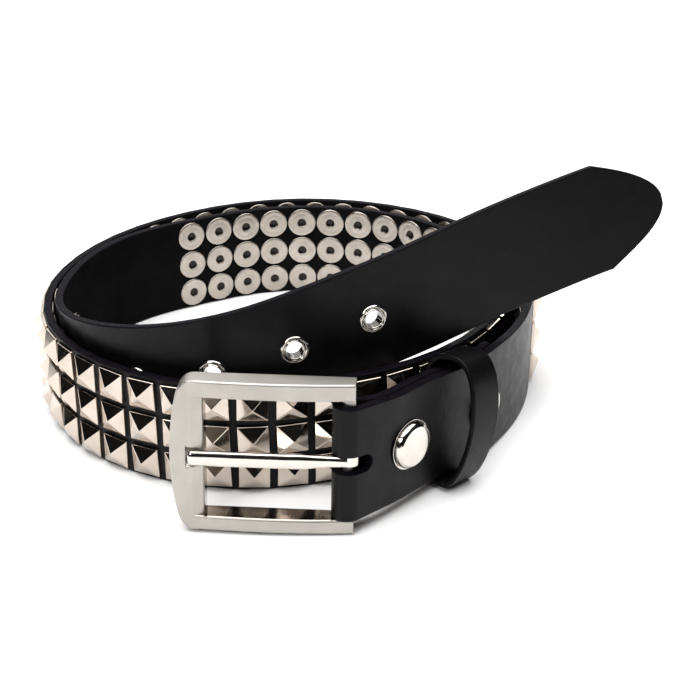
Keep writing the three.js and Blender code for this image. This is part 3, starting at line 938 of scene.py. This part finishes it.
def stud_template():
    """One pyramid stud with a short upright skirt, its edges just rounded."""
    half = STUD_BASE / 2
    square = ((-half, -half), (half, -half), (half, half), (-half, half))
    points = [(x, y, z) for z in (0, STUD_SKIRT) for x, y in square] + [(0, 0, STUD_APEX)]
    apex = len(points) - 1
    faces = [(3, 2, 1, 0)]
    for k in range(4):
        nxt = (k + 1) % 4
        faces += [(k, nxt, 4 + nxt, 4 + k), (4 + k, 4 + nxt, apex)]
    mesh = mesh_from("stud", points, faces)
    mesh = bevelled(mesh, STUD_EDGE, segments=2, chosen=lambda edge: max(v.co.z for v in edge.verts) > 0)
    return in_metres(smooth(mesh, sharp_angle=50))


def marked_hollow(mesh, chosen):
    """The lathe piece with the points that chosen picks, by radius and height, marked as hollow, where the
    nickel gets painted shade.
    """
    shade = mesh.attributes.new("hollow", "FLOAT", "POINT")
    for vertex in mesh.vertices:
        away = math.hypot(vertex.co.x, vertex.co.y)
        shade.data[vertex.index].value = float(chosen(away, vertex.co.z))
    return mesh


def rivet_template():
    """The back of a stud's rivet: a flat rolled washer round a hollow, which is marked for painted shade."""
    profile = [
        (0, 0.05), (0.7, 0.06), (1.2, 0.12), (1.6, 0.3), (1.85, 0.52), (2.0, 0.62), (2.2, 0.66),
        (3.0, 0.66), (4.1, 0.62), (4.3, 0.56), (4.5, 0.62), (5.3, 0.6), (5.65, 0.5), (5.85, 0.28),
        (5.85, 0), (0, 0),
    ]
    mesh = turned("rivet back", profile, sides=24)
    mesh = marked_hollow(mesh, lambda away, height: away < RIVET_HOLLOW)
    return in_metres(smooth(mesh, sharp_angle=50))


def eyelet_template():
    """A rolled eyelet: a flange ring, a groove and a bright inner lip, the barrel and the back flange, with
    the inside of the barrel marked for painted shade.
    """
    back = -STRAP_THICKNESS
    profile = [
        (2.86, 0.3), (2.9, 0.62), (3.02, 0.8), (3.2, 0.86), (3.38, 0.78), (3.5, 0.58), (3.62, 0.5),
        (3.74, 0.56), (3.9, 0.72), (4.15, 0.8), (4.42, 0.74), (4.65, 0.56), (4.78, 0.32), (4.75, 0.16),
        (3.5, 0.16), (3.5, back - 0.25), (4.75, back - 0.25), (4.7, back - 0.5), (4.2, back - 0.75),
        (3.4, back - 0.85), (3.0, back - 0.75), (2.86, back - 0.4),
    ]
    low = back - BARREL_PAST_BACK
    mesh = turned("eyelet", profile, sides=64, ring=True)
    mesh = marked_hollow(mesh, lambda away, height: away < BARREL_OUTER and low < height < BARREL_TOP)
    return in_metres(smooth(mesh, sharp_angle=45))


def snap_template():
    """A domed snap cap on its washer, with its post and a flat back behind both plies."""
    back = -2 * STRAP_THICKNESS - 2 * LEATHER_CLEAR
    profile = [
        (0, 2.98), (3.0, 2.97), (5.6, 2.93), (6.5, 2.85), (6.8, 2.72), (7.35, 2.22), (7.62, 1.8),
        (7.8, 1.3), (7.8, 0.86), (7.5, 0.74), (7.2, 0.7), (7.2, 0.5), (7.9, 0.52), (8.25, 0.6),
        (8.45, 0.52), (8.5, 0.34), (8.45, 0.12), (2.0, 0.12), (2.0, back - 0.05), (5.4, back - 0.05),
        (5.5, back - 0.3), (5.2, back - 0.5), (0, back - 0.5),
    ]
    return in_metres(smooth(turned("snap", profile, sides=64), sharp_angle=40))


def row_sizes(first, pitch, columns, rows_across=1, row_pitch=0, stand_off=0, wobble=0, seed=1):
    """The node tree's values for rows that are given in millimetres and degrees."""
    return {
        "First place": first * MM,
        "Column pitch": pitch * MM,
        "Columns": columns,
        "Rows": rows_across,
        "Row pitch": row_pitch * MM,
        "Stand off": stand_off * MM,
        "Wobble": math.radians(wobble),
        "Seed": seed,
    }


def stud_grid(**settings):
    """The places of the studs, which their rivets share."""
    return row_sizes(STUD_FIRST, STUD_PITCH, STUD_COLUMNS, STUD_ROWS, STUD_ROW_PITCH, **settings)


def make_studs():
    """Three rows of studs, each a little out of true."""
    mesh = set_in_rows(stud_template(), stud_nickel, stud_grid(stand_off=-STUD_SINK, wobble=2.0, seed=11))
    show("pyramid_studs", mesh, "belt", "stud_nickel", "stud_field")


def make_rivets():
    """The studs' rivet backs on the strap's inner side."""
    template = rivet_template()
    template.transform(Matrix.Rotation(math.pi, 4, "X"))
    sizes = stud_grid(stand_off=-STRAP_THICKNESS - RIVET_GAP, wobble=0.5, seed=23)
    show("rivet_backs", set_in_rows(template, back_nickel, sizes), "belt", "stud_nickel")


def make_eyelets():
    """The eyelets, the first of them nearest to the free end."""
    sizes = row_sizes(EYELET_LAST, -EYELET_PITCH, EYELET_COUNT, wobble=0.5, seed=5)
    mesh = set_in_rows(eyelet_template(), bright_nickel, sizes)
    nodes = [f"eyelet_{k + 1}" for k in range(EYELET_COUNT)]
    show("eyelets", mesh, "belt", "eyelet_nickel", *nodes)


def make_snaps():
    """The two snaps that hold the doubled strap."""
    first, second = SNAP_PLACES
    mesh = set_in_rows(snap_template(), bright_nickel, row_sizes(first, second - first, columns=2))
    show("snap_caps", mesh, "belt", "snap_nickel", "snap_1", "snap_2")


# Keeper loop


def keeper_outlines():
    """The loop's outer and inner outlines, as outward and upward distances from the strap's middle."""
    outer = [p for curve in KEEPER_CURVES for p in cubic(*curve, KEEPER_STEPS)]
    inner = []
    for i, point in enumerate(outer):
        tangent = outer[(i + 1) % len(outer)] - outer[i - 1]
        normal = Vector((-tangent.y, tangent.x)).normalized()
        inner.append(point + normal * KEEPER_THICKNESS)
    return outer, inner


def keeper_band():
    """The loop's two outlines, carried over its width as a closed band."""
    outer, inner = keeper_outlines()
    count = len(outer)
    half = KEEPER_WIDTH / 2
    points = [(*p, z) for z in (-half, half) for outline in (outer, inner) for p in outline]
    low_out, low_in, high_out, high_in = (k * count for k in range(4))
    sides = ((low_out, low_in), (low_in, high_in), (high_in, high_out), (high_out, low_out))
    faces = []
    for k in range(count):
        nxt = (k + 1) % count
        faces += [(a + k, b + k, b + nxt, a + nxt) for a, b in sides]
    return outward(mesh_from("keeper", points, faces))


def make_keeper():
    """The loose leather loop round the doubled strap."""
    point, along, across, out = course.frame_at(KEEPER_PLACE)
    mesh = bevelled(keeper_band(), KEEPER_EDGE, segments=3, chosen=is_corner)
    mesh.transform(placing(point, out, across, -along))
    mesh = smooth(mesh, sharp_angle=40)
    give(mesh, keeper_leather)
    show("keeper_loop_leather", mesh, "belt", "keeper_leather", "keeper_loop")


# Buckle, in its own directions: X towards the bowed end, Y to the front, Z along the heel bar

ON_PLANE = 0.01
NEAR_PLANE = 0.1
FACING = 0.9
BOWED_END = RIDGE[0] + 1


def buckle_place():
    """Where the heel bar's middle is, and how the buckle is turned."""
    point, _, across, out = course.frame_at(0.0)
    heading = math.radians(BUCKLE_HEADING)
    x = np.array([math.cos(heading), math.sin(heading), 0.0])
    x = unit(x - across * (across @ x))
    y = np.cross(across, x)
    return placing(point - out * HEEL_DEPTH + across * BUCKLE_RISE, x, y, across)


def frame_outline():
    """The frame's outline, open towards the strap, as reach from the heel bar and height."""
    slant = FRAME_CORNER - CORNER_SLANT
    low_start = (FRAME_CORNER - CORNER_REACH, FRAME_LOW)
    low_end = (FRAME_CORNER, FRAME_LOW + CORNER_REACH)
    high_start = (FRAME_CORNER, FRAME_HIGH - CORNER_REACH)
    high_end = (FRAME_CORNER - CORNER_REACH, FRAME_HIGH)
    return [
        (ARM_END, FRAME_LOW),
        *quadratic(low_start, (slant, FRAME_LOW), low_end, steps=12),
        *quadratic(low_end, (2 * FRAME_BOW - FRAME_CORNER, 0), high_start, steps=24),
        *quadratic(high_start, (slant, FRAME_HIGH), high_end, steps=12),
        high_end,
        (ARM_END, FRAME_HIGH),
        (ARM_END, FRAME_HALF_OPENING),
        (OPENING_END, FRAME_HALF_OPENING),
        (OPENING_END, -FRAME_HALF_OPENING),
        (ARM_END, -FRAME_HALF_OPENING),
    ]


def upright(mesh):
    """Turns a prism so that its depth runs from the front to the back and its outline stands."""
    mesh.transform(Matrix.Rotation(math.pi / 2, 4, "X"))
    return mesh


def arch_cutter():
    """Takes everything before the arched front."""
    line = catmull_rom(FRAME_ARCH, steps=6)
    clear = FRAME_FRONT + CUT_CLEAR
    (start_x, start_y), (end_x, end_y) = line[0], line[-1]
    left, right = start_x - CUT_CLEAR, end_x + CUT_CLEAR
    outline = [*line, (right, end_y), (right, clear), (left, clear), (left, start_y)]
    return prism("arch", outline, FRAME_LOW - CUT_CLEAR, FRAME_HIGH + CUT_CLEAR)


def slope_cutter():
    """Takes the slope from the ridge of the bowed bar down to its rounded inner edge."""
    low = RIDGE[1] - SLOPE_DROP
    clear = FRAME_FRONT + CUT_CLEAR
    start = OPENING_END - CUT_CLEAR
    lip = [(OPENING_END + x, low + y) for x, y in SLOPE_LIP]
    outline = [(start, clear), (start, lip[0][1]), *lip, RIDGE, (RIDGE[0], clear)]
    return prism("slope", outline, -FRAME_HALF_OPENING, FRAME_HALF_OPENING)


def notch_cutter():
    """Takes the round notch that the tongue's tip lies in."""
    notch = prism("notch", circle(0, 0, NOTCH_RADIUS, sides=64), OPENING_END - NOTCH_CLEAR, NOTCH_END)
    notch.transform(Matrix.Rotation(math.pi / 2, 4, "Y"))
    notch.transform(Matrix.Translation((0, NOTCH_FLOOR + NOTCH_RADIUS, 0)))
    return notch


def stands_out(edge):
    """Whether an edge of the frame is a sharp outward one."""
    return edge.is_convex and sharper_than(edge, degrees=50)


def on_rounded_front(edge):
    """Whether a sharp edge runs round the outside of the front, or along the lower bar's inner side."""
    a, b = (vertex.co for vertex in edge.verts)
    at_front = min(a.y, b.y) > FRAME_ARCH[0][1] - NEAR_PLANE
    above = min(a.z, b.z) > FRAME_HIGH - ON_PLANE
    below = max(a.z, b.z) < FRAME_LOW + ON_PLANE
    lower_inner = max(abs(a.z + FRAME_HALF_OPENING), abs(b.z + FRAME_HALF_OPENING)) < ON_PLANE
    at_bow = min(a.x, b.x) > BOWED_END
    return stands_out(edge) and at_front and (above or below or lower_inner or at_bow)


def faces_the_opening(polygon):
    """Whether a face of the frame is one of the three polished walls of its opening."""
    middle, normal = polygon.center, polygon.normal
    inside = abs(middle.z) < FRAME_HALF_OPENING + NEAR_PLANE and middle.x > RING_OUTER
    along_bar = abs(normal.z) > FACING and inside
    at_end = normal.x < -FACING and middle.x < OPENING_END + NEAR_PLANE
    return along_bar or at_end


def make_frame():
    """The buckle's frame with its heel bar and lug."""
    plate = outward(upright(prism("frame", frame_outline(), -FRAME_FRONT, -FRAME_BACK)))
    mesh = cut(plate, [outward(cutter) for cutter in (arch_cutter(), slope_cutter(), notch_cutter())])
    mesh = bevelled(mesh, FRONT_EDGE, segments=6, chosen=on_rounded_front)
    mesh = bevelled(mesh, FRAME_EDGE, segments=5, chosen=stands_out)
    bar_end = FRAME_HALF_OPENING + BAR_OVERLAP
    bar = prism("heel bar", circle(0, 0, BAR_RADIUS, sides=32), -bar_end, bar_end)
    lug = outward(upright(prism("lug", LUG_OUTLINE, -LUG_FRONT, -LUG_BACK)))
    mesh = smooth(cut(mesh, [bar, lug], "UNION"), sharp_angle=20)
    give(mesh, frame_nickel, inner_nickel)
    for polygon in mesh.polygons:
        polygon.material_index = int(faces_the_opening(polygon))
    mesh.transform(buckle_place())
    show("buckle_frame_satin", mesh, "frame", "buckle_nickel", "buckle_frame")


def tongue_sections():
    """Distance, height, half width and half thickness of each ring of the tongue, to its blunt tip."""
    sections = [(x, y, width / 2, TONGUE_THICKNESS / 2) for x, y, width in TONGUE_LINE]
    x, y, half_width, half_thick = sections[-1]
    for k in range(1, TONGUE_TIP_RINGS + 1):
        turn = math.radians(TONGUE_TIP_TURN * k)
        shrink = math.cos(turn) ** TONGUE_TIP_BLUNTNESS
        sections.append((x + TONGUE_TIP_REACH * math.sin(turn), y, half_width * shrink, half_thick * shrink))
    return sections


def squared(value):
    """A sine or cosine, drawn out a little towards a square."""
    return math.copysign(abs(value) ** TONGUE_SQUARENESS, value)


def tongue_prong(sides=32):
    """The prong along X, a little square in section."""
    turns = [2 * math.pi * (k + 0.5) / sides for k in range(sides)]
    rings = []
    for x, y, half_width, half_thick in tongue_sections():
        rings.append([
            (x, y + half_thick * squared(math.cos(turn)), half_width * squared(math.sin(turn)))
            for turn in turns
        ])
    return lofted("prong", rings)


def tongue_ring():
    """The ring round the heel bar, its outer edges cut off."""
    half = RING_WIDTH / 2
    shoulder = RING_OUTER - RING_EDGE
    profile = [
        (RING_INNER, -half), (shoulder, -half), (RING_OUTER, RING_EDGE - half),
        (RING_OUTER, half - RING_EDGE), (shoulder, half), (RING_INNER, half),
    ]
    return turned("ring", profile, sides=40, ring=True)


def make_tongue():
    bore = prism("bore", circle(0, 0, RING_INNER, sides=40), -BORE_HALF, BORE_HALF)
    mesh = cut(cut(tongue_prong(), [tongue_ring()], "UNION"), [bore])
    mesh = smooth(mesh, sharp_angle=40)
    mesh.transform(buckle_place())
    give(mesh, bright_nickel)
    show("buckle_tongue_bright", mesh, "tongue", "tongue_nickel", "buckle_tongue")


make_strap()
make_studs()
make_rivets()
make_eyelets()
make_snaps()
make_keeper()
make_frame()
make_tongue()


# Floor, light and camera; places are in metres, and the view is in millimetres, pixels and degrees

FLOOR_HALF = 6.0
ROOM_COLOUR = (1.0, 0.98, 0.95)
LIGHTS = (
    # name, place, aim, width and height, power in watts
    ("overhead softbox", (0.0, 0.0, 1.25), (0, 0, 0), (1.9, 1.7), 39),
    ("front fill", (-0.75, -1.15, 0.95), (0, 0, 0.03), (0.5, 0.4), 7),
    ("white backdrop", (0.0, 1.7, 0.75), (0, 0, 0.1), (3.2, 0.9), 12),
    ("back strip", (0.5, 1.3, 0.75), (0, 0, 0.03), (1.0, 0.15), 2.5),
)
VIEW_FROM = (22.0, -495.0, 251.0)
VIEW_DIP = 26
VIEW_FOCAL = 1450
PHOTO_WIDTH = 700
SENSOR_WIDTH = 36.0
CLIP_START = 0.01


def make_floor():
    half = FLOOR_HALF
    corners = [(-half, -half, 0), (half, -half, 0), (half, half, 0), (-half, half, 0)]
    mesh = mesh_from("floor", corners, [(0, 1, 2, 3)])
    material, tree, shader, place = new_material("white paper")
    shader.inputs["Base Color"].default_value = (*PAPER_WHITE, 1)
    shader.inputs["Specular IOR Level"].default_value = 0.1
    link(tree, spread(tree, noise(tree, place, size=400, detail=2), 0.85, 0.95), shader.inputs["Roughness"])
    give(mesh, material)
    floor = new_object("floor", mesh)


def make_world():
    """A dark room, a little lighter overhead."""
    world = bpy.data.worlds.new("room")
    bpy.context.scene.world = world
    world.use_nodes = True
    tree = world.node_tree
    direction = tree.nodes.new("ShaderNodeTexCoord").outputs["Generated"]
    height = add(tree, "ShaderNodeSeparateXYZ", Vector=direction).outputs["Z"]
    background = tree.nodes["Background"]
    background.inputs["Color"].default_value = (*ROOM_COLOUR, 1)
    strength = spread(tree, height, 0.012, 0.16, from_low=0.5, from_high=0.95)
    link(tree, strength, background.inputs["Strength"])


def make_light(name, place, aim, size, power):
    """A rectangular lamp that faces its aim."""
    data = bpy.data.lights.new(name, "AREA")
    data.shape = "RECTANGLE"
    data.size, data.size_y = size
    data.energy = power
    light = new_object(name, data)
    light.location = place
    light.rotation_euler = (Vector(aim) - Vector(place)).to_track_quat("-Z", "Y").to_euler()


def make_camera():
    """The photograph's view: a long lens that looks down at the belt."""
    data = bpy.data.cameras.new("camera")
    data.sensor_width = SENSOR_WIDTH
    data.lens = SENSOR_WIDTH * VIEW_FOCAL / PHOTO_WIDTH
    data.clip_start = CLIP_START
    camera = new_object("camera", data)
    camera.location = Vector((COIL_CENTRE + np.array(VIEW_FROM)) * MM)
    camera.rotation_euler = (math.radians(90 - VIEW_DIP), 0, 0)
    bpy.context.scene.camera = camera


make_floor()
make_world()
for light_row in LIGHTS:
    make_light(*light_row)
make_camera()
bpy.context.scene.view_settings.view_transform = "Standard"
